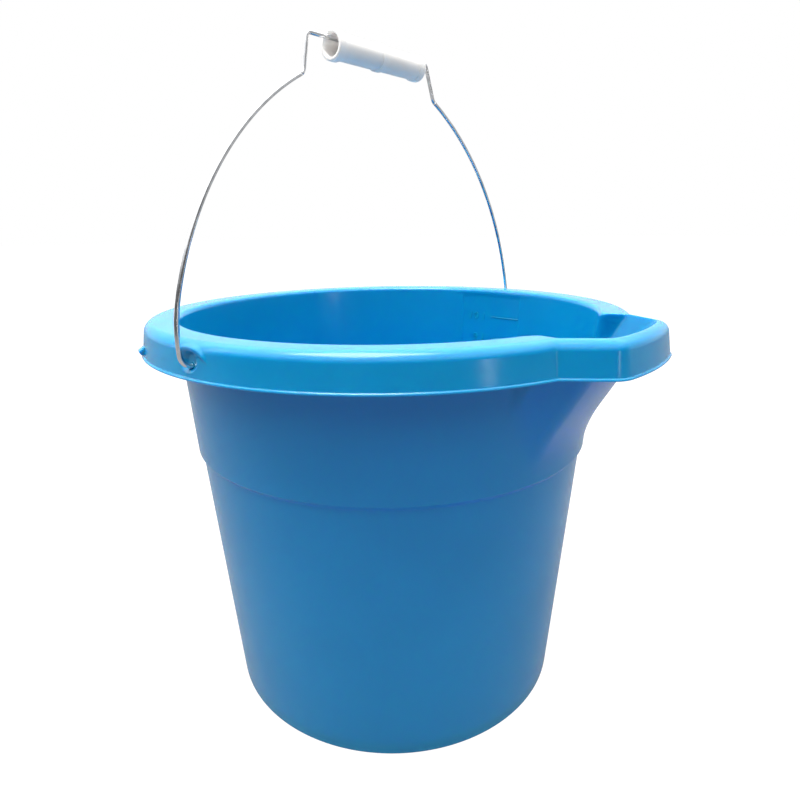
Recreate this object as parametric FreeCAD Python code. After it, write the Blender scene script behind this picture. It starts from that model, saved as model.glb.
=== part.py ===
import FreeCAD, Part
import math
import os

# Ten-litre wash bucket with a pouring spout, a wire bail and a loose tubular grip.
# Millimetres. Origin: centre of the foot ring on the resting plane. +Z up, +X towards the
# spout, Y along the bail's pivot axis.

V = FreeCAD.Vector

# --- driving dimensions: pail -------------------------------------------------------------
WALL = 2.0
RIM_HEIGHT = 253.4
FOOT_RADIUS = 115.2
LOWER_TAPER = 0.0716          # growth of radius per mm of height, below the step
STEP_HEIGHT = 171.2           # where the wall steps out
STEP_OUT = 2.3
STEP_RISE = 2.6
UPPER_TAPER = 0.059           # the same above the step
FLOOR_UNDERSIDE = 3.0         # the floor sits this high inside the foot ring
FLOOR_CORNER = 6.0

# --- driving dimensions: rim, skirt and spout ---------------------------------------------
RIM_THICKNESS = 2.2
SKIRT_BOTTOM = 235.0
SKIRT_RADIUS_TOP = 151.0
SKIRT_RADIUS_BOTTOM = 153.9
SPOUT_REACH_TOP = 170.0
SPOUT_REACH_BOTTOM = 173.2
SPOUT_ROOT_ANGLE = 20.5       # half angle at which the spout leaves the round skirt
SPOUT_CORNER_ANGLE = 12.3     # half angle of the spout's front corners
ROOT_FILLET = 5.0
CORNER_FILLET = 12.0
RIM_ROUNDING = 5.0
LIP_OUT = 0.7                 # small bead round the skirt's lower edge
LIP_HEIGHT = 1.2

CHANNEL_ROOT_ANGLE = 18.8     # half angle of the gap in the round wall
CHANNEL_INSET = 5.4           # from the skirt's outside to the inside of the channel
CHANNEL_ROOT_FILLET = 6.0
CHANNEL_CORNER_FILLET = 14.0
CHANNEL_SLOPE = 0.56          # the channel's floor moves inwards this much per mm of depth

# --- driving dimensions: ears -------------------------------------------------------------
PIVOT_HEIGHT = 241.3
EAR_FORWARD = 3.4             # both ears sit this far towards the spout from the middle
EAR_HOLE_RADIUS = 1.6
POCKET_RADIUS = 5.5
POCKET_RISE = 2.0             # the pocket's round top is this far above the hole
POCKET_FLOOR = 150.0          # distance of the pocket's floor from the bucket's middle plane
EAR_PLATE = 2.4
EAR_BOSS_WIDTH = 16.0
BROW_OUTER = 7.6
BROW_FACE = 152.2             # the brow is a flat disc; the flaring skirt swallows its foot

# --- driving dimensions: rim lugs ---------------------------------------------------------
LUG_ANGLE = 114.0
LUG_WIDTH = 7.0
LUG_PROUD = 4.0
LUG_LOW = 237.0
LUG_SHELF = 239.4
LUG_TOP = 242.4

# --- driving dimensions: bail, as (half span, height above the pivot) -----------------------
WIRE_RADIUS = 1.25
BAIL_TILT = 2.6               # the upright bail leans this many degrees away from the spout
BAIL_SLIDE = -2.05            # how far the loose bail has slid along its pivot axis
HOOK_END = 140.0              # the hooked end stops this far from the bail's middle
HOOK_BEND = 6.0
ARC_RADIUS = 180.85
ARC_ACROSS = 22.6             # each side arc's centre lies this far beyond the middle
ARC_BELOW = 19.4              # and this far below the pivot
LEG_SPAN = 154.1              # the -Y leg drops straight to its hook from here
LEG_BEND = 80.0
ARC_FROM_NEAR = 38.0          # height at which the -Y side arc begins
ARC_FROM_FAR = 14.0
ARC_END_NEAR = 140.0          # height at which each side arc gives way to its shoulder
ARC_END_FAR = 143.4
SHOULDER_NEAR = (60.6, 144.1) # a point on the -Y shoulder
SHOULDER_FAR = (54.2, 147.2)  # the same on the +Y side; the wire is bent by hand
TOP_NEAR = (56.8, 160.9)      # corner between shoulder and top stretch
TOP_FAR = (48.0, 164.9)
SHOULDER_BEND = 5.0
TOP_BEND = 3.2

# --- driving dimensions: grip -------------------------------------------------------------
GRIP_NEAR = (39.6, 158.15)    # middle of the grip's -Y end
GRIP_FAR = (38.6, 160.2)      # middle of its +Y end, where it hangs on the wire
GRIP_BODY_RADIUS = 6.95
GRIP_COLLAR_RADIUS = 7.95
GRIP_RING_RADIUS = 7.5
GRIP_END_COLLAR = 5.0
GRIP_MID_COLLAR = 4.0
GRIP_BORE_RADIUS = 5.7
GRIP_EDGE = 0.5

BIG = 400.0


def polar(radius, degrees, z=0.0):
    a = math.radians(degrees)
    return V(radius * math.cos(a), radius * math.sin(a), z)


def revolved(points):
    """Solid of revolution about Z from (radius, height) points."""
    wire = Part.makePolygon([V(r, 0, z) for r, z in points + points[:1]])
    return Part.Face(wire).revolve(V(0, 0, 0), V(0, 0, 1), 360)


def mirrored(p):
    return V(p.x, -p.y, p.z)


def side_line(inset):
    """The spout's side in plan: a point on it, its direction and its outward normal."""
    root = polar(SKIRT_RADIUS_TOP, SPOUT_ROOT_ANGLE)
    corner = polar(SPOUT_REACH_TOP, SPOUT_CORNER_ANGLE)
    along = (corner - root).normalize()
    outward = V(-along.y, along.x, 0)
    return root - outward * inset, along, outward


def on_circle(point, along, radius):
    """Where a plan line meets a circle about the axis, on the side it points towards."""
    b = point.dot(along)
    root = math.sqrt(b * b - point.dot(point) + radius * radius)
    hits = [point + along * t for t in (-b - root, -b + root)]
    return min(hits, key=lambda q: (q - point).Length)


def corner_arc(circle, start, along, outward, radius, side):
    """Arc joining a circle about the axis to a plan line: side 1 hollow, -1 rounded."""
    centre = on_circle(start + outward * (side * radius), along, circle + side * radius)
    on_circle_end = centre * (circle / centre.Length)
    on_line_end = centre - outward * (side * radius)
    middle = (on_circle_end + on_line_end) * 0.5 - centre
    middle = centre + middle.normalize() * radius
    return on_circle_end, middle, on_line_end


def raised(points, z):
    return [V(p.x, p.y, z) for p in points]


def half_and_mirror(pieces):
    """Edges for the +Y half, given as two-point lines and three-point arcs, and their mirror."""
    edges = []
    for points in pieces + [[mirrored(p) for p in points] for points in pieces]:
        if len(points) == 2:
            edges.append(Part.makeLine(*points))
        else:
            edges.append(Part.Arc(*points).toShape())
    return edges


def rim_outline(inset, z):
    """Plan outline of the rim at one height: a circle with the spout's three rounded sides."""
    down = (RIM_HEIGHT - z) / (RIM_HEIGHT - SKIRT_BOTTOM)
    skirt = SKIRT_RADIUS_TOP + down * (SKIRT_RADIUS_BOTTOM - SKIRT_RADIUS_TOP) - inset
    reach = SPOUT_REACH_TOP + down * (SPOUT_REACH_BOTTOM - SPOUT_REACH_TOP) - inset
    grown = inset - down * (SKIRT_RADIUS_BOTTOM - SKIRT_RADIUS_TOP)
    start, along, outward = side_line(grown)
    root = corner_arc(skirt, start, along, outward, ROOT_FILLET + inset, 1)
    front = start + along * 30
    corner = corner_arc(reach, front, along, outward, CORNER_FILLET - inset, -1)
    pieces = [
        raised([polar(reach, 0), polar(reach, 4), corner[0]], z),
        raised(corner, z),
        raised([corner[2], root[2]], z),
        raised(root, z),
        raised([root[0], polar(skirt, 100), polar(skirt, 180)], z),
    ]
    return Part.Wire(Part.__sortEdges__(half_and_mirror(pieces)))


def rim_block(inset, low, high):
    return Part.makeLoft([rim_outline(inset, low), rim_outline(inset, high)], True, True)


def top_edges(shape, z):
    return [e for e in shape.Edges
            if abs(e.BoundBox.ZMax - z) < 1e-3 and abs(e.BoundBox.ZMin - z) < 1e-3]


def channel_face(inset):
    """Plan of the pouring channel at the rim's top, reaching inwards past the round wall."""
    reach = SPOUT_REACH_TOP - inset
    start, along, outward = side_line(inset)
    front = start + along * 30
    corner = corner_arc(reach, front, along, outward, CHANNEL_CORNER_FILLET, -1)
    # the channel's back corner, where its side turns in towards the bucket's axis
    inwards = polar(1, CHANNEL_ROOT_ANGLE)
    normal = V(-inwards.y, inwards.x, 0)
    lift = CHANNEL_INSET - inset
    radius = CHANNEL_ROOT_FILLET
    centre = crossing(start - outward * radius, along, normal * (lift - radius), inwards)
    ends = [centre + outward * radius, centre + normal * radius]
    middle = centre + (outward + normal).normalize() * radius
    inner = ends[1] - inwards * (ends[1].dot(inwards) - 90)
    pieces = [
        raised([polar(reach, 0), polar(reach, 4), corner[0]], RIM_HEIGHT),
        raised(corner, RIM_HEIGHT),
        raised([corner[2], ends[0]], RIM_HEIGHT),
        raised([ends[0], middle, ends[1]], RIM_HEIGHT),
        raised([ends[1], inner], RIM_HEIGHT),
        raised([inner, V(inner.x, 0, 0)], RIM_HEIGHT),
    ]
    return Part.Face(Part.Wire(Part.__sortEdges__(half_and_mirror(pieces))))


def crossing(p, along_p, q, along_q):
    """Where two plan lines cross."""
    cross = along_p.x * along_q.y - along_p.y * along_q.x
    gap = q - p
    return p + along_p * ((gap.x * along_q.y - gap.y * along_q.x) / cross)


def channel_block(inset, depth, above):
    """The channel's plan swept down and inwards, so that its front is a sloping ramp."""
    face = channel_face(inset)
    block = face.extrude(V(-CHANNEL_SLOPE * depth, 0, -depth))
    if above:
        block = block.fuse(face.extrude(V(0, 0, above)))
    return block


def lower_radius(z):
    return FOOT_RADIUS + LOWER_TAPER * z


def upper_radius(z):
    return lower_radius(STEP_HEIGHT - STEP_RISE) + STEP_OUT + UPPER_TAPER * (z - STEP_HEIGHT)


def wall_solid():
    step_low = STEP_HEIGHT - STEP_RISE
    return revolved([
        (0, 0),
        (FOOT_RADIUS, 0),
        (lower_radius(step_low), step_low),
        (upper_radius(STEP_HEIGHT), STEP_HEIGHT),
        (upper_radius(RIM_HEIGHT), RIM_HEIGHT),
        (0, RIM_HEIGHT),
    ])


def inside_solid():
    """What the pail holds, up past the rim."""
    floor = FLOOR_UNDERSIDE + RIM_THICKNESS
    step_low = STEP_HEIGHT - STEP_RISE
    top = RIM_HEIGHT + 10
    solid = revolved([
        (0, floor),
        (lower_radius(floor) - WALL, floor),
        (lower_radius(step_low) - WALL, step_low),
        (upper_radius(STEP_HEIGHT) - WALL, STEP_HEIGHT),
        (upper_radius(top) - WALL, top),
        (0, top),
    ])
    corner = [e for e in solid.Edges if abs(e.BoundBox.ZMax - floor) < 1e-3
              and abs(e.BoundBox.ZMin - floor) < 1e-3 and e.Length > 300]
    return solid.makeFillet(FLOOR_CORNER, corner)


def foot_recess():
    return revolved([
        (0, -1),
        (FOOT_RADIUS - WALL, -1),
        (lower_radius(FLOOR_UNDERSIDE) - WALL, FLOOR_UNDERSIDE),
        (0, FLOOR_UNDERSIDE),
    ])


def skirt_radius(z):
    slope = (SKIRT_RADIUS_BOTTOM - SKIRT_RADIUS_TOP) / (RIM_HEIGHT - SKIRT_BOTTOM)
    return SKIRT_RADIUS_TOP + slope * (RIM_HEIGHT - z)


def ear_cylinder(side, radius, near, far, z):
    """A cylinder along Y on one side of the bucket, between two distances from the middle."""
    return Part.makeCylinder(radius, far - near, V(EAR_FORWARD, side * near, z), V(0, side, 0))


def ear_box(side, half_width, near, far, low, high):
    corner = V(EAR_FORWARD - half_width, near if side > 0 else -far, low)
    return Part.makeBox(2 * half_width, far - near, high - low, corner)


def ear_boss(side):
    far = skirt_radius(PIVOT_HEIGHT) - 1.0
    return ear_box(side, EAR_BOSS_WIDTH / 2, POCKET_FLOOR - EAR_PLATE, far,
                   SKIRT_BOTTOM + 0.6, RIM_HEIGHT - 1.0)


def ear_brow(side):
    middle = PIVOT_HEIGHT + POCKET_RISE
    disc = ear_cylinder(side, BROW_OUTER, POCKET_FLOOR, BROW_FACE, middle)
    return disc.common(ear_box(side, BIG / 2, 0, BIG, middle, BIG))


def ear_pocket(side):
    far = skirt_radius(PIVOT_HEIGHT) + 20
    low = ear_cylinder(side, POCKET_RADIUS, POCKET_FLOOR, far, PIVOT_HEIGHT)
    high = ear_cylinder(side, POCKET_RADIUS, POCKET_FLOOR, far, PIVOT_HEIGHT + POCKET_RISE)
    slot = ear_box(side, POCKET_RADIUS, POCKET_FLOOR, far, PIVOT_HEIGHT, PIVOT_HEIGHT + POCKET_RISE)
    return low.fuse([high, slot])


def ear_hole(side):
    near = POCKET_FLOOR - EAR_PLATE
    return ear_cylinder(side, EAR_HOLE_RADIUS, near - 1, POCKET_FLOOR + 1, PIVOT_HEIGHT)


def rim_lug(side):
    """Small wedge on the skirt: a flat shelf below, a slope above."""
    inner = SKIRT_RADIUS_TOP - 1.0
    tip = skirt_radius(LUG_SHELF) + LUG_PROUD
    profile = Part.makePolygon([
        V(inner, -LUG_WIDTH / 2, LUG_LOW),
        V(tip - 1.4, -LUG_WIDTH / 2, LUG_LOW),
        V(tip, -LUG_WIDTH / 2, LUG_SHELF),
        V(skirt_radius(LUG_TOP) - 0.4, -LUG_WIDTH / 2, LUG_TOP),
        V(inner, -LUG_WIDTH / 2, LUG_TOP),
        V(inner, -LUG_WIDTH / 2, LUG_LOW),
    ])
    lug = Part.Face(profile).extrude(V(0, LUG_WIDTH, 0))
    lug.rotate(V(0, 0, 0), V(0, 0, 1), side * LUG_ANGLE)
    return lug


def pail():
    rim = rim_block(0.0, SKIRT_BOTTOM, RIM_HEIGHT)
    rim = rim.makeFillet(RIM_ROUNDING, top_edges(rim, RIM_HEIGHT))
    lip = rim_block(-LIP_OUT, SKIRT_BOTTOM, SKIRT_BOTTOM + LIP_HEIGHT)
    under = rim_block(WALL, SKIRT_BOTTOM - 1, RIM_HEIGHT - RIM_THICKNESS)
    shell = rim.fuse(lip).cut(under)

    depth = RIM_HEIGHT - 120
    ramp = channel_block(CHANNEL_INSET - WALL, depth, 0)
    ramp = ramp.common(rim_block(0.6, 100, RIM_HEIGHT - 1.0))
    ears = [make(side) for make in (ear_boss, ear_brow) for side in (-1, 1)]
    lugs = [rim_lug(side) for side in (-1, 1)]
    body = wall_solid().fuse([shell, ramp] + ears + lugs)

    hollow = inside_solid().fuse(channel_block(CHANNEL_INSET, depth - 10, 10))
    body = body.cut([hollow, foot_recess()])
    body = body.cut([cut(side) for cut in (ear_pocket, ear_hole) for side in (-1, 1)])
    return body.removeSplitter()


def bent_path(corners):
    """Edges along straight runs with an arc at each inner corner: (point, radius) pairs."""
    edges = []
    here = corners[0][0]
    for (a, _), (b, radius), (c, _) in zip(corners, corners[1:], corners[2:]):
        back = (a - b).normalize()
        on = (c - b).normalize()
        half = 0.5 * back.getAngle(on)
        first = b + back * (radius / math.tan(half))
        last = b + on * (radius / math.tan(half))
        middle = b + (back + on).normalize() * (radius / math.sin(half) - radius)
        edges.append(Part.makeLine(here, first))
        edges.append(Part.Arc(first, middle, last).toShape())
        here = last
    edges.append(Part.makeLine(here, corners[-1][0]))
    return edges


def meeting(p, along_p, q, along_q):
    """Where two lines in the bail's plane cross."""
    cross = along_p.y * along_q.z - along_p.z * along_q.y
    gap = q - p
    return p + along_p * ((gap.y * along_q.z - gap.z * along_q.y) / cross)


def in_plane(side, pair):
    return V(0, side * pair[0], pair[1])


def on_side_arc(side, height):
    """Point and upward direction of a side arc at one height."""
    rise = height + ARC_BELOW
    run = math.sqrt(ARC_RADIUS ** 2 - rise ** 2)
    along = V(0, -side * rise, run).normalize()
    return V(0, side * (run - ARC_ACROSS), height), along


def half_bail(side, low, high, shoulder, top):
    """Edges from the hooked end to the shoulder's foot, and the knee the shoulder turns at."""
    start, start_way = on_side_arc(side, low)
    middle, _ = on_side_arc(side, 0.5 * (low + high))
    end, end_way = on_side_arc(side, high)
    hook_end = V(0, side * HOOK_END, 0)
    if side < 0:
        leg = V(0, side * LEG_SPAN, 0)
        bend = meeting(start, start_way, leg, V(0, 0, 1))
        edges = bent_path([(hook_end, 0), (leg, HOOK_BEND), (bend, LEG_BEND), (start, 0)])
    else:
        leg = meeting(start, start_way, V(0, 0, 0), V(0, 1, 0))
        edges = bent_path([(hook_end, 0), (leg, HOOK_BEND), (start, 0)])
    edges.append(Part.Arc(start, middle, end).toShape())
    foot = in_plane(side, shoulder)
    return edges, end, meeting(end, end_way, foot, in_plane(side, top) - foot)


def bail_path():
    near, near_end, near_knee = half_bail(-1, ARC_FROM_NEAR, ARC_END_NEAR, SHOULDER_NEAR, TOP_NEAR)
    far, far_end, far_knee = half_bail(1, ARC_FROM_FAR, ARC_END_FAR, SHOULDER_FAR, TOP_FAR)
    crown = bent_path([
        (near_end, 0),
        (near_knee, SHOULDER_BEND),
        (in_plane(-1, TOP_NEAR), TOP_BEND),
        (in_plane(1, TOP_FAR), TOP_BEND),
        (far_knee, SHOULDER_BEND),
        (far_end, 0),
    ])
    return Part.Wire(Part.__sortEdges__(near + crown + far))


def placed(shape):
    """Lean a shape in the bail's plane back, and put it at the ears."""
    shape.rotate(V(0, 0, 0), V(0, 1, 0), -BAIL_TILT)
    shape.translate(V(EAR_FORWARD, BAIL_SLIDE, PIVOT_HEIGHT))
    return shape


def bail():
    path = bail_path()
    at = path.OrderedVertexes[0].Point
    section = Part.Wire(Part.makeCircle(WIRE_RADIUS, at, V(0, 1, 0)))
    wire = path.makePipeShell([section], True, False)
    ends = [e for e in wire.Edges if e.BoundBox.YLength < 1e-3
            and abs(abs(e.BoundBox.YMin) - HOOK_END) < 1e-3]
    return placed(wire.makeChamfer(0.3, ends))


def grip_profile(half):
    """Half section of the grip from one end to the other: (distance along, radius) points."""
    edge, mid, end = GRIP_EDGE, GRIP_MID_COLLAR / 2, half - GRIP_END_COLLAR
    right = [
        (mid - edge, GRIP_RING_RADIUS),
        (mid, GRIP_BODY_RADIUS),
        (end, GRIP_BODY_RADIUS),
        (end + edge, GRIP_COLLAR_RADIUS),
        (half - edge, GRIP_COLLAR_RADIUS),
        (half, GRIP_COLLAR_RADIUS - edge),
        (half, GRIP_BORE_RADIUS + edge),
        (half - edge, GRIP_BORE_RADIUS),
    ]
    left = [(-x, r) for x, r in reversed(right)]
    return left + right


def grip():
    """A tube with a collar at each end and a ring in the middle, hanging on the wire."""
    near = in_plane(-1, GRIP_NEAR)
    far = in_plane(1, GRIP_FAR)
    points = [V(0, x, r) for x, r in grip_profile(0.5 * (far - near).Length)]
    solid = Part.Face(Part.makePolygon(points + points[:1])).revolve(V(0, 0, 0), V(0, 1, 0), 360)
    slope = math.degrees(math.atan2(far.z - near.z, far.y - near.y))
    solid.rotate(V(0, 0, 0), V(1, 0, 0), slope)
    solid.translate((near + far) * 0.5)
    return placed(solid)


def main():
    os.makedirs("parts", exist_ok=True)
    for name, make in (("pail", pail), ("bail", bail), ("grip", grip)):
        shape = make()
        solids = shape.Solids
        print(name, shape.isValid(), len(solids), round(shape.Volume, 1), shape.BoundBox)
        if len(solids) == 1:
            shape = solids[0]
        shape.exportStep(f"parts/{name}.step")


main()
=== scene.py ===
import math

import bmesh
import bpy
import numpy as np
from mathutils import Matrix, Vector


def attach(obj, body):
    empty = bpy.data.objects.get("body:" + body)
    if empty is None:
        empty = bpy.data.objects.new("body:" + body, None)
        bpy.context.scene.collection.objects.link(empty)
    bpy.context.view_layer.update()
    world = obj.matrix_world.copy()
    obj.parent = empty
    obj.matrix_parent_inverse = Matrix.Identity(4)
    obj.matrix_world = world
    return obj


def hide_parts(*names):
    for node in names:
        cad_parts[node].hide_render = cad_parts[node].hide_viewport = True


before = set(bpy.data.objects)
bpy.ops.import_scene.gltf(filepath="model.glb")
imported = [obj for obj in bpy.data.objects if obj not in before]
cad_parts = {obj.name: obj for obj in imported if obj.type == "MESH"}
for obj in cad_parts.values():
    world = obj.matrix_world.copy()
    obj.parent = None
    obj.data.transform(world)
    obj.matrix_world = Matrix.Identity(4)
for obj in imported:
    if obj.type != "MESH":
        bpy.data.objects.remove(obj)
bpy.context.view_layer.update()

MM = 0.001

# --- pail dimensions, in millimetres and degrees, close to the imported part's --------------------
RIM_Z, SKIRT_Z = 253.4, 235.0
SKIRT_R, SKIRT_FLARE = 151.0, 2.9
REACH_R, ROOT_DEG, CORNER_DEG = 170.0, 20.5, 12.3
ROOT_FILLET, CORNER_FILLET = 5.0, 12.0
CHANNEL_INSET, CHANNEL_SLOPE = 5.4, 0.56
CHANNEL_ROOT_DEG, CHANNEL_CORNER, CHANNEL_ROOT_FILLET = 18.8, 14.0, 6.0
WALL, FOOT_R = 2.0, 115.2
STEP_Z, STEP_RISE, STEP_OUT = 171.2, 2.6, 2.3
LOWER_TAPER, UPPER_TAPER = 0.0716, 0.059
FLOOR_UNDER, FLOOR_TOP = 3.0, 5.2
PIVOT_Z, EAR_X = 241.3, 3.4
BROW_FACE = 152.15   # the swinging wire just clears this
HOLE_R = 1.6
PANEL_DEG = 88.8
LIP, THIN_LIP = 3.0, 0.12   # rounding into the bucket, and on the spout; only the look has it
FLANGE_THICK = 2.2
OUTER_ROUNDING = 5.0
FLOOR_CORNER = 6.0
PANEL_DEPTH = 0.4   # only the look has the panel
LITRE_TOP, LITRE_STEP = 230.3, 17.7   # height of the ten-litre mark, and how far below it the next one lies


def lower_radius(z):
    return FOOT_R + LOWER_TAPER * z


def wall_radius(z):
    """Outside of the round wall; the step is a straight ledge with softly rounded edges."""
    below = lower_radius(z)
    low = STEP_Z - STEP_RISE
    above = lower_radius(low) + STEP_OUT + UPPER_TAPER * (z - STEP_Z)
    t = (z - low) / STEP_RISE
    t = 0.5 + 0.5 * (np.sqrt(t * t + 0.002) - np.sqrt((t - 1) ** 2 + 0.002))
    return below + (above - below) * t


# --- plan outlines as finely divided polygons ----------------------------------------------

def polar(radius, degrees):
    a = math.radians(degrees)
    return np.array([radius * math.cos(a), radius * math.sin(a)])


def side_line(inset):
    root, corner = polar(SKIRT_R, ROOT_DEG), polar(REACH_R, CORNER_DEG)
    along = (corner - root) / np.linalg.norm(corner - root)
    outward = np.array([-along[1], along[0]])
    return root - outward * inset, along, outward


def on_circle(point, along, radius):
    b = point @ along
    root = math.sqrt(b * b - point @ point + radius * radius)
    return min((point + along * t for t in (-b - root, -b + root)),
               key=lambda q: np.linalg.norm(q - point))


def arc(centre, start, end, count):
    """Points from start to end the short way round a centre."""
    a0 = math.atan2(*(start - centre)[::-1])
    a1 = math.atan2(*(end - centre)[::-1])
    turn = (a1 - a0 + math.pi) % (2 * math.pi) - math.pi
    radius = np.linalg.norm(start - centre)
    angles = a0 + turn * np.linspace(0, 1, count)
    return centre + radius * np.stack([np.cos(angles), np.sin(angles)], 1)


def corner_arc(circle, start, along, outward, radius, side):
    centre = on_circle(start + outward * (side * radius), along, circle + side * radius)
    on_circle_end = centre * (circle / np.linalg.norm(centre))
    return arc(centre, on_circle_end, centre - outward * (side * radius), 12)


def crossing(p, along_p, q, along_q):
    """Where two lines in one plane cross."""
    cross = along_p[0] * along_q[1] - along_p[1] * along_q[0]
    gap = q - p
    return p + along_p * ((gap[0] * along_q[1] - gap[1] * along_q[0]) / cross)


def mirrored_loop(half):
    """A closed polygon from its +Y half, which runs from the spout's middle backwards."""
    return np.concatenate([half, (half * [1, -1])[::-1]])


def rim_polygon():
    start, along, outward = side_line(0.0)
    corner = corner_arc(REACH_R, start + along * 30, along, outward, CORNER_FILLET, -1)
    root = corner_arc(SKIRT_R, start, along, outward, ROOT_FILLET, 1)[::-1]
    first, last = (math.degrees(math.atan2(p[1], p[0])) for p in (corner[0], root[-1]))
    front = [polar(REACH_R, a) for a in np.linspace(0, first, 8)[:-1]]
    back = [polar(SKIRT_R, a) for a in np.linspace(last, 180, 181)[1:]]
    return mirrored_loop(np.concatenate([front, corner, root, back]))


def channel_polygon(inset):
    """The pouring channel at the rim's top, reaching inwards past the round wall."""
    start, along, outward = side_line(inset)
    reach = REACH_R - inset
    corner = corner_arc(reach, start + along * 30, along, outward, CHANNEL_CORNER, -1)
    inwards = polar(1, CHANNEL_ROOT_DEG)
    normal = np.array([-inwards[1], inwards[0]])
    radius, lift = CHANNEL_ROOT_FILLET, CHANNEL_INSET - inset
    centre = crossing(start - outward * radius, along, normal * (lift - radius), inwards)
    back = arc(centre, centre + outward * radius, centre + normal * radius, 8)
    inner = back[-1] - inwards * (back[-1] @ inwards - 90)
    first = math.degrees(math.atan2(corner[0][1], corner[0][0]))
    front = [polar(reach, a) for a in np.linspace(0, first, 8)[:-1]]
    return mirrored_loop(np.concatenate([front, corner, back, [inner]]))


def polygon_distance(points, loop):
    """Signed distance from plan points to a closed polygon, negative inside."""
    a, b = loop, np.roll(loop, -1, 0)
    edge = b - a
    keep = (edge ** 2).sum(1) > 1e-12
    a, b, edge = a[keep], b[keep], edge[keep]
    rel = points[:, None] - a[None]
    t = np.clip((rel * edge).sum(2) / (edge ** 2).sum(1), 0, 1)
    near = ((rel - t[..., None] * edge) ** 2).sum(2).min(1)
    y, ya, yb = points[:, None, 1], a[None, :, 1], b[None, :, 1]
    straddles = (ya > y) != (yb > y)
    x_at = a[None, :, 0] + (y - ya) * edge[None, :, 0] / np.where(yb == ya, 1e9, yb - ya)
    inside = (straddles & (points[:, None, 0] < x_at)).sum(1) % 2 == 1
    return np.where(inside, -1, 1) * np.sqrt(near)


def smooth_union(a, b, k):
    h = np.maximum(k - np.abs(a - b), 0)
    return np.minimum(a, b) - h * h / (4 * k)


def contour(distance, angles, level, low=90.0, high=190.0):
    """For each angle, the radius at which a signed distance passes a level."""
    ways = np.stack([np.cos(angles), np.sin(angles)], 1)
    lo, hi = np.full(len(angles), low), np.full(len(angles), high)
    for _ in range(22):
        mid = 0.5 * (lo + hi)
        inside = distance(ways * mid[:, None]) < level
        lo, hi = np.where(inside, mid, lo), np.where(inside, hi, mid)
    return 0.5 * (lo + hi)


# --- the pail's grid: columns of constant angle, rows from under the foot to the floor -------

SPANS = ((0, 8, 0.5), (8, 24, 0.2), (24, 76, 0.8), (76, 83, 0.25), (83, 94, 0.125),
         (94, 102, 0.25), (102, 180, 0.975))
half_angles = np.concatenate([np.arange(lo, hi - 1e-6, step) for lo, hi, step in SPANS] + [[180.0]])
HALF = np.radians(half_angles)
ANGLES = np.concatenate([HALF, -HALF[-2:0:-1]])
FOLD = np.concatenate([np.arange(len(HALF)), np.arange(len(HALF) - 2, 0, -1)])
SPOUT = HALF < math.radians(30)


def unfold(half_values):
    return half_values[FOLD]


rim_loop = rim_polygon()


def rim_radius(inset, z):
    """The rim's outline at a height, moved inwards."""
    level = SKIRT_FLARE * (RIM_Z - z) / (RIM_Z - SKIRT_Z) - inset
    radius = np.full(len(HALF), SKIRT_R + level)
    radius[SPOUT] = contour(lambda p: polygon_distance(p, rim_loop), HALF[SPOUT], level)
    return unfold(radius)


def spouted_radius(z, wall, loop, blend, level=0.0):
    """A round wall joined smoothly to a prism that leans inwards with depth."""
    level = np.zeros(len(HALF)) + level
    radius = wall + level
    shifted = loop - [CHANNEL_SLOPE * max(RIM_Z - z, 0.0), 0]
    reach = (shifted ** 2).sum(1).max() ** 0.5
    if reach > wall - 8:
        def distance(points):
            round_wall = np.hypot(points[:, 0], points[:, 1]) - wall
            return smooth_union(round_wall, polygon_distance(points, shifted), blend)
        radius[SPOUT] = contour(distance, HALF[SPOUT], level[SPOUT])
    return unfold(radius)


channel_loop = channel_polygon(CHANNEL_INSET)
ramp_loop = channel_polygon(CHANNEL_INSET - WALL)


def outer_wall(z):
    return spouted_radius(z, float(wall_radius(z)), ramp_loop, 7.0)


def inner_wall(z, level=0.0):
    return spouted_radius(z, float(wall_radius(z)) - WALL, channel_loop, 8.0, level)


def smooth_step(value, low, high):
    t = np.clip((value - low) / (high - low), 0, 1)
    return t * t * (3 - 2 * t)


def ear_relief(x, z):
    """How far the skirt stands proud (or sinks) around an ear, at a place on its face."""
    u, v = x - EAR_X, z - PIVOT_Z
    # the brow: a shallow arch with soft edges, drawn out further towards the spout
    crest = 10.5 - u * u / 36.0
    ends = (1 - smooth_step(u, 8.0, 14.5)) * smooth_step(u, -9.5, -6.5)
    lid = smooth_step(v, crest - 3.0, crest - 2.0) * (1 - smooth_step(v, crest - 1.4, crest + 1.0))
    # the pocket that takes the wire's bend
    bowl = np.sqrt((u / 7.2) ** 2 + ((v - 2.6) / 5.4) ** 2)
    return 1.5 * lid * ends - 2.6 * (1 - smooth_step(bowl, 0.5, 1.0))


def panel_sink(angles, z):
    """The shallow flat panel behind the litre scale, inside the wall."""
    off = np.abs(np.degrees(angles) - PANEL_DEG)
    upright = smooth_step(z, 24.0, 27.0) * (1 - smooth_step(z, 247.0, 249.5))
    return PANEL_DEPTH * upright * (1 - smooth_step(off, 11.8, 12.1))


def ring(radius, z):
    return np.stack([radius * np.cos(ANGLES), radius * np.sin(ANGLES), np.full(len(ANGLES), z)], 1)


def add_relief(row):
    """Push a skirt row in or out around both ears, never past the brow's face."""
    x, y, z = row.T
    near = (np.abs(x - EAR_X) < 16) & (np.abs(y) > 100)
    reach = np.abs(y)
    moved = np.minimum(reach + ear_relief(x, z), np.maximum(reach, BROW_FACE))
    row[:, 1] = np.where(near, np.sign(y) * moved, y)
    return row


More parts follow.
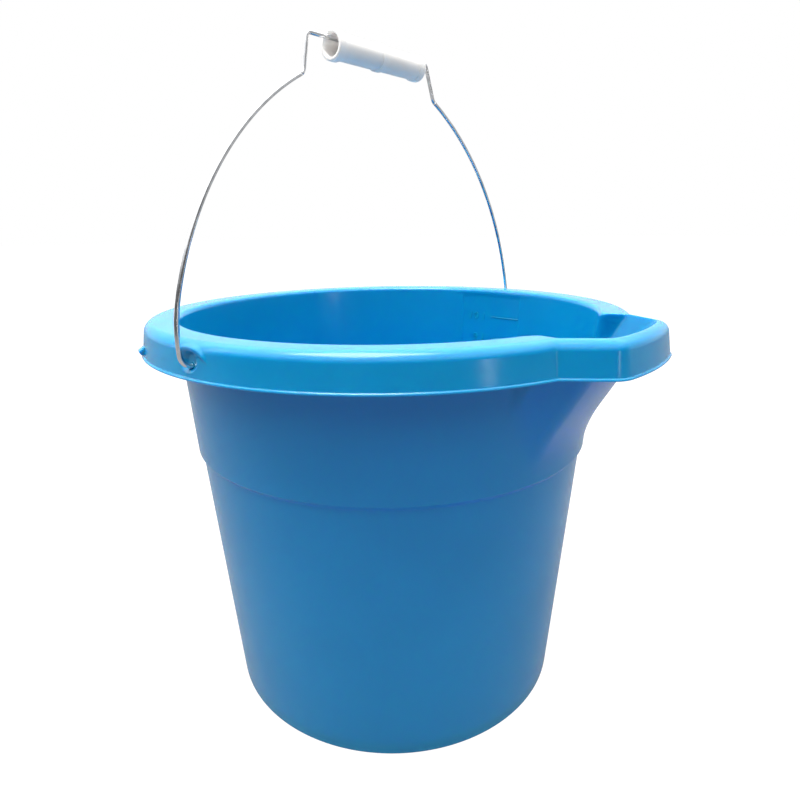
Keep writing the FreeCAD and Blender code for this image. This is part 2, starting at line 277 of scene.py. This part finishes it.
def foot_rows():
    """The raised floor with its small moulded ring, the foot ring and the foot's outer rounding."""
    rows = [ring(np.full(len(ANGLES), r), z) for r, z in (
        (20.0, FLOOR_UNDER), (21.2, FLOOR_UNDER), (21.6, FLOOR_UNDER - 0.3), (22.8, FLOOR_UNDER - 0.3),
        (23.2, FLOOR_UNDER), (60.0, FLOOR_UNDER), (104.0, FLOOR_UNDER), (111.2, FLOOR_UNDER),
        (112.4, FLOOR_UNDER - 0.25), (113.1, FLOOR_UNDER - 0.9), (113.3, 0.4), (113.45, 0.12),
        (113.7, 0.0), (114.2, 0.0))]
    rounding = 1.3
    for step in range(1, 7):
        a = math.radians(15 * step)
        radius = lower_radius(rounding) - rounding + rounding * math.sin(a)
        rows.append(ring(np.full(len(ANGLES), radius), rounding - rounding * math.cos(a)))
    return rows


def wall_heights():
    """Heights for the rows of both faces of the wall, close together where it changes."""
    low = STEP_Z - STEP_RISE
    return np.concatenate([
        np.linspace(8, low - 1.5, 12), np.linspace(low - 0.7, STEP_Z + 0.7, 17),
        np.linspace(STEP_Z + 1.5, 183, 5), np.arange(184.5, 250, 1.5)])


def underside_rows():
    """Up the outside of the wall, out under the flange and down the skirt's inner face."""
    rows = [ring(outer_wall(z), z) for z in wall_heights()]
    top = RIM_Z - FLANGE_THICK
    rows.append(ring(outer_wall(top - 0.3) + 0.2, top - 0.15))
    inner = rim_radius(2.0, top)
    wall = outer_wall(top)
    for t in (0.03, 0.35, 0.65, 0.97):
        rows.append(ring(wall + 0.6 + (inner - wall - 1.2) * t, top))
    rows.append(ring(inner, top - 0.6))
    for z in np.linspace(top - 1.5, SKIRT_Z + 1.0, 14):
        row = ring(rim_radius(2.0, z), z)
        boss = smooth_step(8.5 - np.abs(row[:, 0] - EAR_X), 0, 0.8) * (np.abs(row[:, 1]) > 100)
        reach = np.abs(row[:, 1])
        row[:, 1] = np.sign(row[:, 1]) * (reach + boss * (147.6 - reach))
        rows.append(row)
    return rows


def skirt_rows():
    """Round the bead on the skirt's lower edge, up its face and over the outer rounding."""
    lip = ((2.0, 0.35), (1.85, 0.1), (1.5, 0.0), (0.1, 0.0), (-0.42, 0.08), (-0.64, 0.3), (-0.68, 0.6),
           (-0.64, 0.95), (-0.42, 1.2), (-0.12, 1.32), (0.0, 1.5))
    rows = [ring(rim_radius(inset, SKIRT_Z + up), SKIRT_Z + up) for inset, up in lip]
    face_top = RIM_Z - OUTER_ROUNDING
    rows += [add_relief(ring(rim_radius(0.0, z), z)) for z in np.arange(SKIRT_Z + 2.0, face_top, 0.42)]
    for a in np.radians(np.linspace(2, 88, 15)):
        z = face_top + OUTER_ROUNDING * math.sin(a)
        rows.append(add_relief(ring(rim_radius(OUTER_ROUNDING * (1 - math.cos(a)), z), z)))
    return rows


def flange_rows():
    """The flat top, then the rounding into the bucket; the spout's thin rim leaves room for less."""
    lip = THIN_LIP + (LIP - THIN_LIP) * smooth_step(np.degrees(HALF), 17.5, 21.5)
    outer, inner = rim_radius(5.05, RIM_Z), inner_wall(RIM_Z, lip)
    rows = [ring(outer + (inner - outer) * t, RIM_Z) for t in (0.0, 0.04, 0.5, 0.96, 1.0)]
    for a in np.radians(np.linspace(6, 90, 10)):
        level = lip * (1 - math.sin(a))
        high, low = inner_wall(RIM_Z, level), inner_wall(RIM_Z - LIP, level)
        depth = unfold(lip) * (1 - math.cos(a))
        rows.append(ring(high + (low - high) * depth / LIP, RIM_Z - depth))
    return rows


def inside_rows():
    """Down the inside of the wall, round the corner and in across the floor."""
    heights = np.append(RIM_Z - LIP - np.array([0.0, 0.7]), wall_heights()[::-1])
    corner_top = FLOOR_TOP + FLOOR_CORNER
    rows = [ring(inner_wall(z) + panel_sink(ANGLES, z), z) for z in heights[heights > corner_top + 0.5]]
    corner_r = lower_radius(corner_top) - WALL - FLOOR_CORNER
    for step in range(0, 9):
        a = math.radians(90 - 11.25 * step)
        radius = np.full(len(ANGLES), corner_r + FLOOR_CORNER * math.sin(a))
        rows.append(ring(radius, corner_top - FLOOR_CORNER * math.cos(a)))
    rows += [ring(np.full(len(ANGLES), r), FLOOR_TOP) for r in (104.0, 60.0, 8.0)]
    return rows


def grid_mesh(name, rows):
    """A closed skin through the rows, with a fan at each end."""
    count = len(ANGLES)
    points = np.concatenate(rows) * MM
    first = np.array([[0, 0, rows[0][0, 2] * MM]])
    last = np.array([[0, 0, rows[-1][0, 2] * MM]])
    points = np.concatenate([points, first, last])
    j = np.arange(count)
    k = (j + 1) % count
    faces = []
    for r in range(len(rows) - 1):
        a, b = r * count, (r + 1) * count
        faces += np.stack([a + j, b + j, b + k, a + k], 1)[:, ::-1].tolist()
    faces += np.stack([np.full(count, len(points) - 2), j, k], 1)[:, ::-1].tolist()
    top = (len(rows) - 1) * count
    faces += np.stack([np.full(count, len(points) - 1), top + k, top + j], 1)[:, ::-1].tolist()
    mesh = bpy.data.meshes.new(name)
    mesh.from_pydata(points.tolist(), [], faces)
    mesh.polygons.foreach_set("use_smooth", [True] * len(mesh.polygons))
    mesh.update()
    return mesh


def new_piece(name, mesh, material, body):
    piece = bpy.data.objects.new(name, mesh)
    bpy.context.scene.collection.objects.link(piece)
    piece.data.materials.append(material)
    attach(piece, body)
    return piece


# --- bail: a round wire swept along its bent path, in the bail's own upright plane ---------------

WIRE_R, TILT_DEG, SLIDE = 1.25, 2.6, -2.05
HOOK_END, HOOK_BEND, LEG_SPAN, LEG_BEND = 140.0, 6.0, 154.1, 80.0
ARC_R, ARC_ACROSS, ARC_BELOW = 180.85, 22.6, 19.4
SHOULDER_BEND, TOP_BEND = 5.0, 3.2
# for the near half and the far half, as the wire is bent by hand: the side arc's lower and upper
# ends, a point on the shoulder, and the corner between shoulder and top stretch
NEAR_HALF = (38.0, 140.0, (60.6, 144.1), (56.8, 160.9))
FAR_HALF = (14.0, 143.4, (54.2, 147.2), (48.0, 164.9))


def bend_through(corners):
    """Points along straight runs with an arc at each inner corner: (point, radius) pairs."""
    points = [np.array(corners[0][0])]
    for (a, _), (b, radius), (c, _) in zip(corners, corners[1:], corners[2:]):
        back = (a - b) / np.linalg.norm(a - b)
        on = (c - b) / np.linalg.norm(c - b)
        half = 0.5 * math.acos(np.clip(back @ on, -1, 1))
        centre = b + (back + on) / np.linalg.norm(back + on) * (radius / math.sin(half))
        count = max(4, int((math.pi - 2 * half) * (8 + radius ** 0.5)))
        points += list(arc(centre, b + back * (radius / math.tan(half)),
                           b + on * (radius / math.tan(half)), count))
    return points + [np.array(corners[-1][0])]


def on_side_arc(side, height):
    """Point and upward direction of a side arc at one height."""
    rise = height + ARC_BELOW
    run = math.sqrt(ARC_R ** 2 - rise ** 2)
    way = np.array([-side * rise, run])
    return np.array([side * (run - ARC_ACROSS), height]), way / np.linalg.norm(way)


def half_bail(side, low, high, shoulder, top):
    """Points from the hooked end to the side arc's top, the shoulder's knee and the top corner."""
    start, start_way = on_side_arc(side, low)
    end, end_way = on_side_arc(side, high)
    hook = np.array([side * HOOK_END, 0.0])
    if side < 0:
        leg = np.array([side * LEG_SPAN, 0.0])
        bend = crossing(start, start_way, leg, np.array([0.0, 1.0]))
        run = bend_through([(hook, 0), (leg, HOOK_BEND), (bend, LEG_BEND), (start, 0)])
    else:
        leg = crossing(start, start_way, np.zeros(2), np.array([1.0, 0.0]))
        run = bend_through([(hook, 0), (leg, HOOK_BEND), (start, 0)])
    centre = np.array([-side * ARC_ACROSS, -ARC_BELOW])
    run += list(arc(centre, start, end, 40)[1:])
    foot = np.array([side * shoulder[0], shoulder[1]])
    peak = np.array([side * top[0], top[1]])
    return run, crossing(end, end_way, foot, peak - foot), peak


def bail_line():
    """The wire's middle line from hook to hook, without points that nearly coincide."""
    near, near_knee, near_top = half_bail(-1, *NEAR_HALF)
    far, far_knee, far_top = half_bail(1, *FAR_HALF)
    crown = bend_through([(near[-1], 0), (near_knee, SHOULDER_BEND), (near_top, TOP_BEND),
                          (far_top, TOP_BEND), (far_knee, SHOULDER_BEND), (far[-1], 0)])
    line = near + crown[1:-1] + far[::-1]
    keep = [line[0]]
    for p in line[1:]:
        if np.linalg.norm(p - keep[-1]) > 0.05:
            keep.append(p)
    return np.array(keep)


def divided(line, longest):
    """The same line with no piece longer than a length."""
    points = [line[0]]
    for a, b in zip(line, line[1:]):
        count = max(1, math.ceil(np.linalg.norm(b - a) / longest))
        points += [a + (b - a) * (i / count) for i in range(1, count + 1)]
    return np.array(points)


def upright_to_part():
    """From the bail's own plane, in millimetres, to the row frame in metres."""
    lean = Matrix.Rotation(math.radians(-TILT_DEG), 4, "Y")
    return Matrix.Scale(MM, 4) @ Matrix.Translation((EAR_X, SLIDE, PIVOT_Z)) @ lean


def wire_mesh(sides=28):
    line = divided(bail_line(), 3.0)
    way = np.gradient(line, axis=0)
    way /= np.linalg.norm(way, axis=1)[:, None]
    turns = np.linspace(0, 2 * math.pi, sides, endpoint=False)
    # each end of the wire is rounded a little: (distance back, radius)
    cap = [(0.0, 0.55 * WIRE_R), (0.0, 0.8 * WIRE_R), (0.1, 0.93 * WIRE_R), (0.3, WIRE_R)]
    stations = [(line[0] + way[0] * back, way[0], radius) for back, radius in cap]
    stations += [(p, w, WIRE_R) for p, w in zip(line[1:-1], way[1:-1])]
    stations += [(line[-1] - way[-1] * back, way[-1], radius) for back, radius in cap[::-1]]
    points = []
    for (y, z), (wy, wz), radius in stations:
        for a in turns:
            side, out = radius * math.cos(a), radius * math.sin(a)
            points.append((out, y - wz * side, z + wy * side))
    faces = []
    for i in range(len(stations) - 1):
        for j in range(sides):
            k = (j + 1) % sides
            a, b = i * sides, (i + 1) * sides
            faces.append((a + j, b + j, b + k, a + k))
    faces.append(tuple(range(sides)))
    last = (len(stations) - 1) * sides
    faces.append(tuple(last + j for j in reversed(range(sides))))
    mesh = bpy.data.meshes.new("bail_wire")
    mesh.from_pydata(points, [], faces)
    mesh.transform(upright_to_part())
    return tidy_mesh(mesh)


def tidy_mesh(mesh):
    """Smooth shading with every face turned outwards."""
    work = bmesh.new()
    work.from_mesh(mesh)
    bmesh.ops.recalc_face_normals(work, faces=work.faces)
    for face in work.faces:
        face.smooth = True
    work.to_mesh(mesh)
    work.free()
    mesh.update()
    return mesh


# --- grip: a revolved tube with a rounded collar at each end and a ring in the middle --------------

GRIP_NEAR, GRIP_FAR = (39.6, 158.15), (38.6, 160.2)   # its ends: (half span, height above pivot)
GRIP_BORE, GRIP_BODY = 5.7, 6.85   # radii


def soft_collar(start, end, radius, rounding, root):
    """A collar's half section: rises out of the body, rounds over and drops back to it."""
    points = [(start - root, GRIP_BODY), (start - 0.4 * root, GRIP_BODY + 0.12)]
    for a in np.radians(np.linspace(0, 90, 7)):
        points.append((start + rounding - rounding * math.cos(a),
                       radius - rounding + rounding * math.sin(a)))
    for a in np.radians(np.linspace(0, 90, 7)):
        points.append((end - rounding + rounding * math.sin(a),
                       radius - rounding + rounding * math.cos(a)))
    return points + [(end + 0.4 * root, GRIP_BODY + 0.12), (end + root, GRIP_BODY)]


def grip_section(half):
    """Half section from one mouth of the bore, over the outside, to the other: (along, radius)."""
    near = [p for p in soft_collar(-half, -half + 5.2, 7.9, 0.9, 0.5) if p[0] >= -half]
    middle = soft_collar(-2.2, 2.2, 7.5, 0.8, 0.5)
    far = [p for p in soft_collar(half - 5.8, half, 7.6, 0.9, 0.5) if p[0] <= half]
    mouth = [(half, GRIP_BORE + 0.8), (half - 0.25, GRIP_BORE + 0.25), (half - 0.8, GRIP_BORE)]
    return [(-x, radius) for x, radius in mouth[::-1]] + near + middle + far + mouth


def grip_mesh(sides=96):
    half = 0.5 * math.hypot(GRIP_NEAR[0] + GRIP_FAR[0], GRIP_FAR[1] - GRIP_NEAR[1])
    section = divided(np.array(grip_section(half)), 1.5)
    turns = np.linspace(0, 2 * math.pi, sides, endpoint=False)
    points = []
    for y, radius in section:
        for a in turns:
            points.append((radius * math.cos(a), y, radius * math.sin(a)))
    faces = []
    for i in range(len(section)):
        a, b = i * sides, ((i + 1) % len(section)) * sides
        faces += [(a + j, b + j, b + (j + 1) % sides, a + (j + 1) % sides) for j in range(sides)]
    mesh = bpy.data.meshes.new("grip_tube")
    mesh.from_pydata(points, [], faces)
    slope = math.atan2(GRIP_FAR[1] - GRIP_NEAR[1], GRIP_FAR[0] + GRIP_NEAR[0])
    across, height = 0.5 * (GRIP_FAR[0] - GRIP_NEAR[0]), 0.5 * (GRIP_NEAR[1] + GRIP_FAR[1])
    middle = Matrix.Translation((0, across, height))
    mesh.transform(upright_to_part() @ middle @ Matrix.Rotation(slope, 4, "X"))
    return tidy_mesh(mesh)


# --- small details of the pail -------------------------------------------------------------------

LUG_DEG, LUG_PROUD = 114.0, 3.0
LUG_HEIGHTS = (237.2, 239.4, 242.4)   # bottom, widest place and top
PANEL_X, PANEL_R = 2.6, 130.0   # the panel's middle, and the radius that turns widths into angles
TICK_FROM, TICK_TO, TICK_HALF = 2.5, 29.0, 0.45
DIGIT_HEIGHT = 6.2


def lug_mesh(side):
    """The small wedge on the skirt: slopes above and below its widest place, all edges rounded."""
    low, shelf, high = LUG_HEIGHTS
    tip = SKIRT_R + SKIRT_FLARE * (RIM_Z - shelf) / (RIM_Z - SKIRT_Z) + LUG_PROUD
    root = SKIRT_R - 0.5
    profile = [(root, low), (tip - 1.3, low), (tip - 0.05, shelf), (SKIRT_R + 1.2, high), (root, high)]
    work = bmesh.new()
    ends = [[work.verts.new((r, y, z)) for r, z in profile] for y in (-3.45, 3.45)]
    work.faces.new(ends[0])
    work.faces.new(ends[1][::-1])
    for i in range(len(profile)):
        j = (i + 1) % len(profile)
        work.faces.new((ends[0][i], ends[1][i], ends[1][j], ends[0][j]))
    bmesh.ops.bevel(work, geom=list(work.edges), offset=0.6, segments=4, profile=0.5, affect="EDGES")
    mesh = bpy.data.meshes.new("lug")
    work.to_mesh(mesh)
    work.free()
    mesh.transform(Matrix.Scale(MM, 4) @ Matrix.Rotation(math.radians(side * LUG_DEG), 4, "Z"))
    return tidy_mesh(mesh)


def wrap_on_panel(mesh):
    """Bend a flat relief, laid out as (across, height, proud), onto the inside of the wall."""
    for vertex in mesh.vertices:
        u, v, proud = vertex.co
        radius = float(wall_radius(v)) - WALL + PANEL_DEPTH - proud
        turn = math.radians(PANEL_DEG) - (u - PANEL_X) / PANEL_R
        vertex.co = (radius * math.cos(turn) * MM, radius * math.sin(turn) * MM, v * MM)
    mesh.update()


def bar_mesh(left, right, low, high):
    """A raised bar with a slightly narrower face, cut into short lengths so that it can bend."""
    stations = np.linspace(left, right, max(2, int((right - left) / 1.5)))
    outline = ((low, -0.2), (low + 0.05, 0.2), (low + 0.15, 0.3), (high - 0.15, 0.3), (high - 0.05, 0.2),
               (high, -0.2))
    count = len(outline)
    points = [(u, v, w) for u in stations for v, w in outline]
    faces = []
    for i in range(len(stations) - 1):
        for j in range(count):
            k = (j + 1) % count
            faces.append((i * count + j, i * count + k, (i + 1) * count + k, (i + 1) * count + j))
    faces.append(tuple(range(count)))
    faces.append(tuple((len(stations) - 1) * count + j for j in reversed(range(count))))
    mesh = bpy.data.meshes.new("bar")
    mesh.from_pydata(points, [], faces)
    return mesh


def number_mesh(text, left, baseline, height):
    """Raised figures in the built-in typeface, whose capitals are 0.7 of its size."""
    curve = bpy.data.curves.new("number", "FONT")
    curve.body = text
    curve.size = height / 0.7
    curve.extrude = 0.3
    curve.bevel_depth = 0.06
    curve.resolution_u = 6
    curve.space_character = 1.15
    carrier = bpy.data.objects.new("number", curve)
    bpy.context.scene.collection.objects.link(carrier)
    shown = carrier.evaluated_get(bpy.context.evaluated_depsgraph_get())
    mesh = bpy.data.meshes.new_from_object(shown)
    bpy.data.objects.remove(carrier)
    mesh.transform(Matrix.Translation((left, baseline, 0.0)))
    return mesh


def litre_heights():
    """Heights of the marks from ten litres down to one: equal volumes, so further apart lower down."""
    heights, z = [], LITRE_TOP
    for litres in range(10, 0, -1):
        heights.append((litres, z))
        z -= LITRE_STEP * (wall_radius(LITRE_TOP) / wall_radius(z - 9)) ** 2
    return heights


def join(meshes, name):
    work = bmesh.new()
    for mesh in meshes:
        work.from_mesh(mesh)
    joined = bpy.data.meshes.new(name)
    work.to_mesh(joined)
    work.free()
    return joined


def scale_mesh():
    """The raised ticks and figures of the litre scale, wrapped on the panel as one mesh."""
    parts = []
    for litres, z in litre_heights():
        parts.append(bar_mesh(TICK_FROM, TICK_TO, z - TICK_HALF, z + TICK_HALF))
        left = -19.5 if litres > 9 else -14.5
        parts.append(number_mesh(f"{litres} l", left, z - 2.6, DIGIT_HEIGHT))
    for mesh in parts:
        wrap_on_panel(mesh)
    return tidy_mesh(join(parts, "litre_scale"))


def cut_holes(piece):
    """The round hole through each ear, for the wire's hooked end."""
    for side in (-1, 1):
        work = bmesh.new()
        bmesh.ops.create_cone(work, segments=48, radius1=HOLE_R, radius2=HOLE_R, depth=14.0, cap_ends=True)
        mesh = bpy.data.meshes.new("ear_hole")
        work.to_mesh(mesh)
        work.free()
        mesh.transform(Matrix.Scale(MM, 4) @ Matrix.Translation((EAR_X, side * 148.5, PIVOT_Z))
                       @ Matrix.Rotation(math.radians(90), 4, "X"))
        cutter = bpy.data.objects.new("ear_hole", mesh)
        bpy.context.scene.collection.objects.link(cutter)
        boolean = piece.modifiers.new("hole", "BOOLEAN")
        boolean.operation = "DIFFERENCE"
        boolean.object = cutter
        boolean.solver = "EXACT"
        bpy.context.view_layer.update()
        shown = piece.evaluated_get(bpy.context.evaluated_depsgraph_get())
        cut = bpy.data.meshes.new_from_object(shown)
        piece.modifiers.clear()
        piece.data = cut
        bpy.data.objects.remove(cutter)


# --- materials -------------------------------------------------------------------------------------

FLOOR_BOUNCE, FLOOR_GLOW = 0.28, 0.96   # the floor's light on the object, and to the eye


def linear(value):
    """A colour channel from 0 to 255, as the screen shows it, to linear light."""
    v = value / 255
    return v / 12.92 if value <= 10 else ((v + 0.055) / 1.055) ** 2.4


def srgb(*values):
    return tuple(linear(v) for v in values) + (1.0,)


def set_range(node, start, end, low, high):
    for name, number in (("From Min", start), ("From Max", end), ("To Min", low), ("To Max", high)):
        node.inputs[name].default_value = number


class Shader:
    """A principled material with short ways to add nodes and links."""

    def __init__(self, name):
        self.material = bpy.data.materials.new(name)
        self.material.use_nodes = True
        self.tree = self.material.node_tree
        self.surface = self.tree.nodes["Principled BSDF"]

    def set(self, **values):
        for name, value in values.items():
            self.surface.inputs[name.replace("_", " ")].default_value = value

    def node(self, kind, links=(), **settings):
        made = self.tree.nodes.new(kind)
        for name, value in settings.items():
            if name in made.inputs:
                made.inputs[name].default_value = value
            else:
                setattr(made, name, value)
        for socket, source in dict(links).items():
            self.tree.links.new(source, made.inputs[socket])
        return made

    def place(self):
        return self.node("ShaderNodeTexCoord").outputs["Object"]

    def noise(self, scale, detail=3.0, rough=0.5):
        made = self.node("ShaderNodeTexNoise", {"Vector": self.place()},
                         Scale=scale, Detail=detail, Roughness=rough)
        return made.outputs["Fac"]

    def spread(self, value, low, high, start=0.35, end=0.65):
        """A value between two levels, spread over another range and held at its ends."""
        made = self.node("ShaderNodeMapRange", {"Value": value})
        set_range(made, start, end, low, high)
        return made.outputs["Result"]

    def blend(self, factor, low, high):
        made = self.node("ShaderNodeMix", data_type="RGBA")
        self.tree.links.new(factor, made.inputs[0])
        made.inputs[6].default_value = low
        made.inputs[7].default_value = high
        return made.outputs[2]

    def bump(self, height, distance, strength=1.0, after=None):
        made = self.node("ShaderNodeBump", {"Height": height}, Distance=distance, Strength=strength)
        if after:
            self.tree.links.new(after, made.inputs["Normal"])
        return made.outputs["Normal"]

    def feed(self, name, source):
        self.tree.links.new(source, self.surface.inputs[name])


def pail_plastic():
    """Glossy blue polypropylene that lets a little light through, with faint flow marks and grain."""
    s = Shader("pail_plastic")
    s.set(IOR=1.5, Subsurface_Weight=0.85, Subsurface_Scale=0.005, Specular_IOR_Level=0.4)
    s.set(Subsurface_Radius=(0.25, 0.6, 1.0))
    flow = s.noise(9.0, 2.0)
    s.feed("Base Color", s.blend(s.spread(flow, 0.0, 1.0), srgb(2, 132, 182), srgb(5, 138, 188)))
    s.feed("Roughness", s.spread(s.noise(60.0, 4.0, 0.6), 0.16, 0.23))
    broad = s.bump(s.noise(14.0, 0.0), 0.0004, 0.4)
    s.feed("Normal", s.bump(s.noise(700.0, 1.0), 0.00003, 0.2, broad))
    return s.material


def zinc_wire():
    """Bright zinc-plated steel wire with a fine grain and duller patches."""
    s = Shader("zinc_wire")
    s.set(Metallic=1.0)
    patch = s.noise(160.0, 4.0, 0.6)
    s.feed("Base Color", s.blend(s.spread(patch, 0.0, 1.0), srgb(200, 202, 205), srgb(228, 229, 231)))
    s.feed("Roughness", s.spread(patch, 0.14, 0.24))
    s.feed("Normal", s.bump(s.noise(2600.0, 2.0), 0.00002, 0.4))
    return s.material


def grip_plastic():
    """White polypropylene tube, slightly satin, a little light passing through."""
    s = Shader("grip_plastic")
    s.set(IOR=1.5, Subsurface_Weight=0.35, Subsurface_Scale=0.003)
    s.set(Subsurface_Radius=(1.0, 0.95, 0.95))
    s.feed("Base Color", s.blend(s.noise(40.0, 2.0), srgb(252, 246, 240), srgb(254, 250, 245)))
    s.feed("Roughness", s.spread(s.noise(300.0, 3.0), 0.28, 0.38))
    s.feed("Normal", s.bump(s.noise(1200.0, 3.0), 0.00003, 0.35))
    return s.material


def studio_floor():
    """A floor that looks white and throws only a little light back on the object."""
    s = Shader("studio_floor")
    s.set(Roughness=0.9, Specular_IOR_Level=0.0, Emission_Color=(1, 1, 1, 1))
    seen = s.node("ShaderNodeLightPath").outputs["Is Camera Ray"]
    s.feed("Emission Strength", s.spread(seen, FLOOR_BOUNCE, FLOOR_GLOW, 0.0, 1.0))
    s.feed("Base Color", s.blend(s.noise(3.0, 2.0), srgb(88, 88, 88), srgb(94, 94, 94)))
    return s.material


# --- building the object --------------------------------------------------------------------------------

blue, zinc, white = pail_plastic(), zinc_wire(), grip_plastic()

rows = foot_rows() + underside_rows() + skirt_rows() + flange_rows() + inside_rows()
pail = new_piece("pail_shell", grid_mesh("pail_shell", rows), blue, "pail")
cut_holes(pail)
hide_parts("pail")
for side in (-1, 1):
    new_piece(f"pail_lug_{'left' if side > 0 else 'right'}", lug_mesh(side), blue, "pail")
new_piece("litre_scale", scale_mesh(), blue, "pail")

bail = new_piece("bail_wire", wire_mesh(), zinc, "bail")
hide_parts("bail")

grip = new_piece("grip_tube", grip_mesh(), white, "grip")
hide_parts("grip")

# --- studio ------------------------------------------------------------------------------------------------

FRONT = (0.62, -0.78, -0.05)   # the direction of the room's dark end
ROOM_LIGHT, ROOM_DARK, CEILING_LIGHT = 1.0, 0.1, 2.2


def area_light(name, place, target, size, power):
    """A rectangular lamp at a place, in metres, turned towards a target."""
    light = bpy.data.lights.new(name, "AREA")
    light.shape = "RECTANGLE"
    light.size, light.size_y = size
    light.energy = power
    lamp = bpy.data.objects.new(name, light)
    bpy.context.scene.collection.objects.link(lamp)
    lamp.location = place
    lamp.rotation_euler = (Vector(target) - Vector(place)).to_track_quat("-Z", "Y").to_euler()


def studio_world():
    """White where the eye sees it; as light on the object, a bright ceiling and one dark end."""
    world = bpy.data.worlds.new("studio")
    world.use_nodes = True
    tree = world.node_tree
    nodes, links = tree.nodes, tree.links
    way = nodes.new("ShaderNodeTexCoord")
    front = nodes.new("ShaderNodeVectorMath")
    front.operation = "DOT_PRODUCT"
    front.inputs[1].default_value = FRONT
    links.new(way.outputs["Generated"], front.inputs[0])
    room = nodes.new("ShaderNodeMapRange")
    room.interpolation_type = "SMOOTHSTEP"
    set_range(room, -0.7, 0.5, ROOM_LIGHT, ROOM_DARK)
    links.new(front.outputs["Value"], room.inputs["Value"])
    height = nodes.new("ShaderNodeSeparateXYZ")
    links.new(way.outputs["Generated"], height.inputs[0])
    ceiling = nodes.new("ShaderNodeMapRange")
    ceiling.interpolation_type = "SMOOTHSTEP"
    set_range(ceiling, 0.35, 0.8, 0.0, CEILING_LIGHT)
    links.new(height.outputs["Z"], ceiling.inputs["Value"])
    both = nodes.new("ShaderNodeMath")
    links.new(room.outputs["Result"], both.inputs[0])
    links.new(ceiling.outputs["Result"], both.inputs[1])
    eye = nodes.new("ShaderNodeLightPath")
    pick = nodes.new("ShaderNodeMix")
    pick.inputs[3].default_value = 1.0
    links.new(eye.outputs["Is Camera Ray"], pick.inputs[0])
    links.new(both.outputs[0], pick.inputs[2])
    links.new(pick.outputs[0], nodes["Background"].inputs["Strength"])
    nodes["Background"].inputs["Color"].default_value = (1, 1, 1, 1)
    bpy.context.scene.world = world


def studio():
    bpy.ops.mesh.primitive_plane_add(size=40.0)
    floor = bpy.context.object
    floor.name = "floor"
    floor.data.materials.append(studio_floor())
    bpy.context.scene.view_settings.view_transform = "Standard"
    studio_world()
    area_light("top", (-0.05, -0.3, 1.7), (0, 0, 0.2), (0.9, 0.9), 33.0)
    area_light("left", (-1.4, -1.0, 1.0), (0, 0, 0.3), (0.7, 1.2), 4.5)
    area_light("strip", (1.5, -0.3, 0.36), (0, 0, 0.24), (0.03, 0.2), 0.5)


def camera():
    """The main view: where the camera stands, and which way its right and up point."""
    data = bpy.data.cameras.new("camera")
    data.lens, data.sensor_width = 25.625, 36.0
    eye = bpy.data.objects.new("camera", data)
    bpy.context.scene.collection.objects.link(eye)
    right, up = Vector((0.77958, 0.62617, -0.01331)), Vector((-0.16816, 0.22973, 0.95862))
    back = right.cross(up)
    turn = Matrix((right, up, back)).transposed().to_4x4()
    eye.matrix_world = Matrix.Translation((0.24548, -0.29357, 0.30136)) @ turn
    bpy.context.scene.camera = eye


studio()
camera()
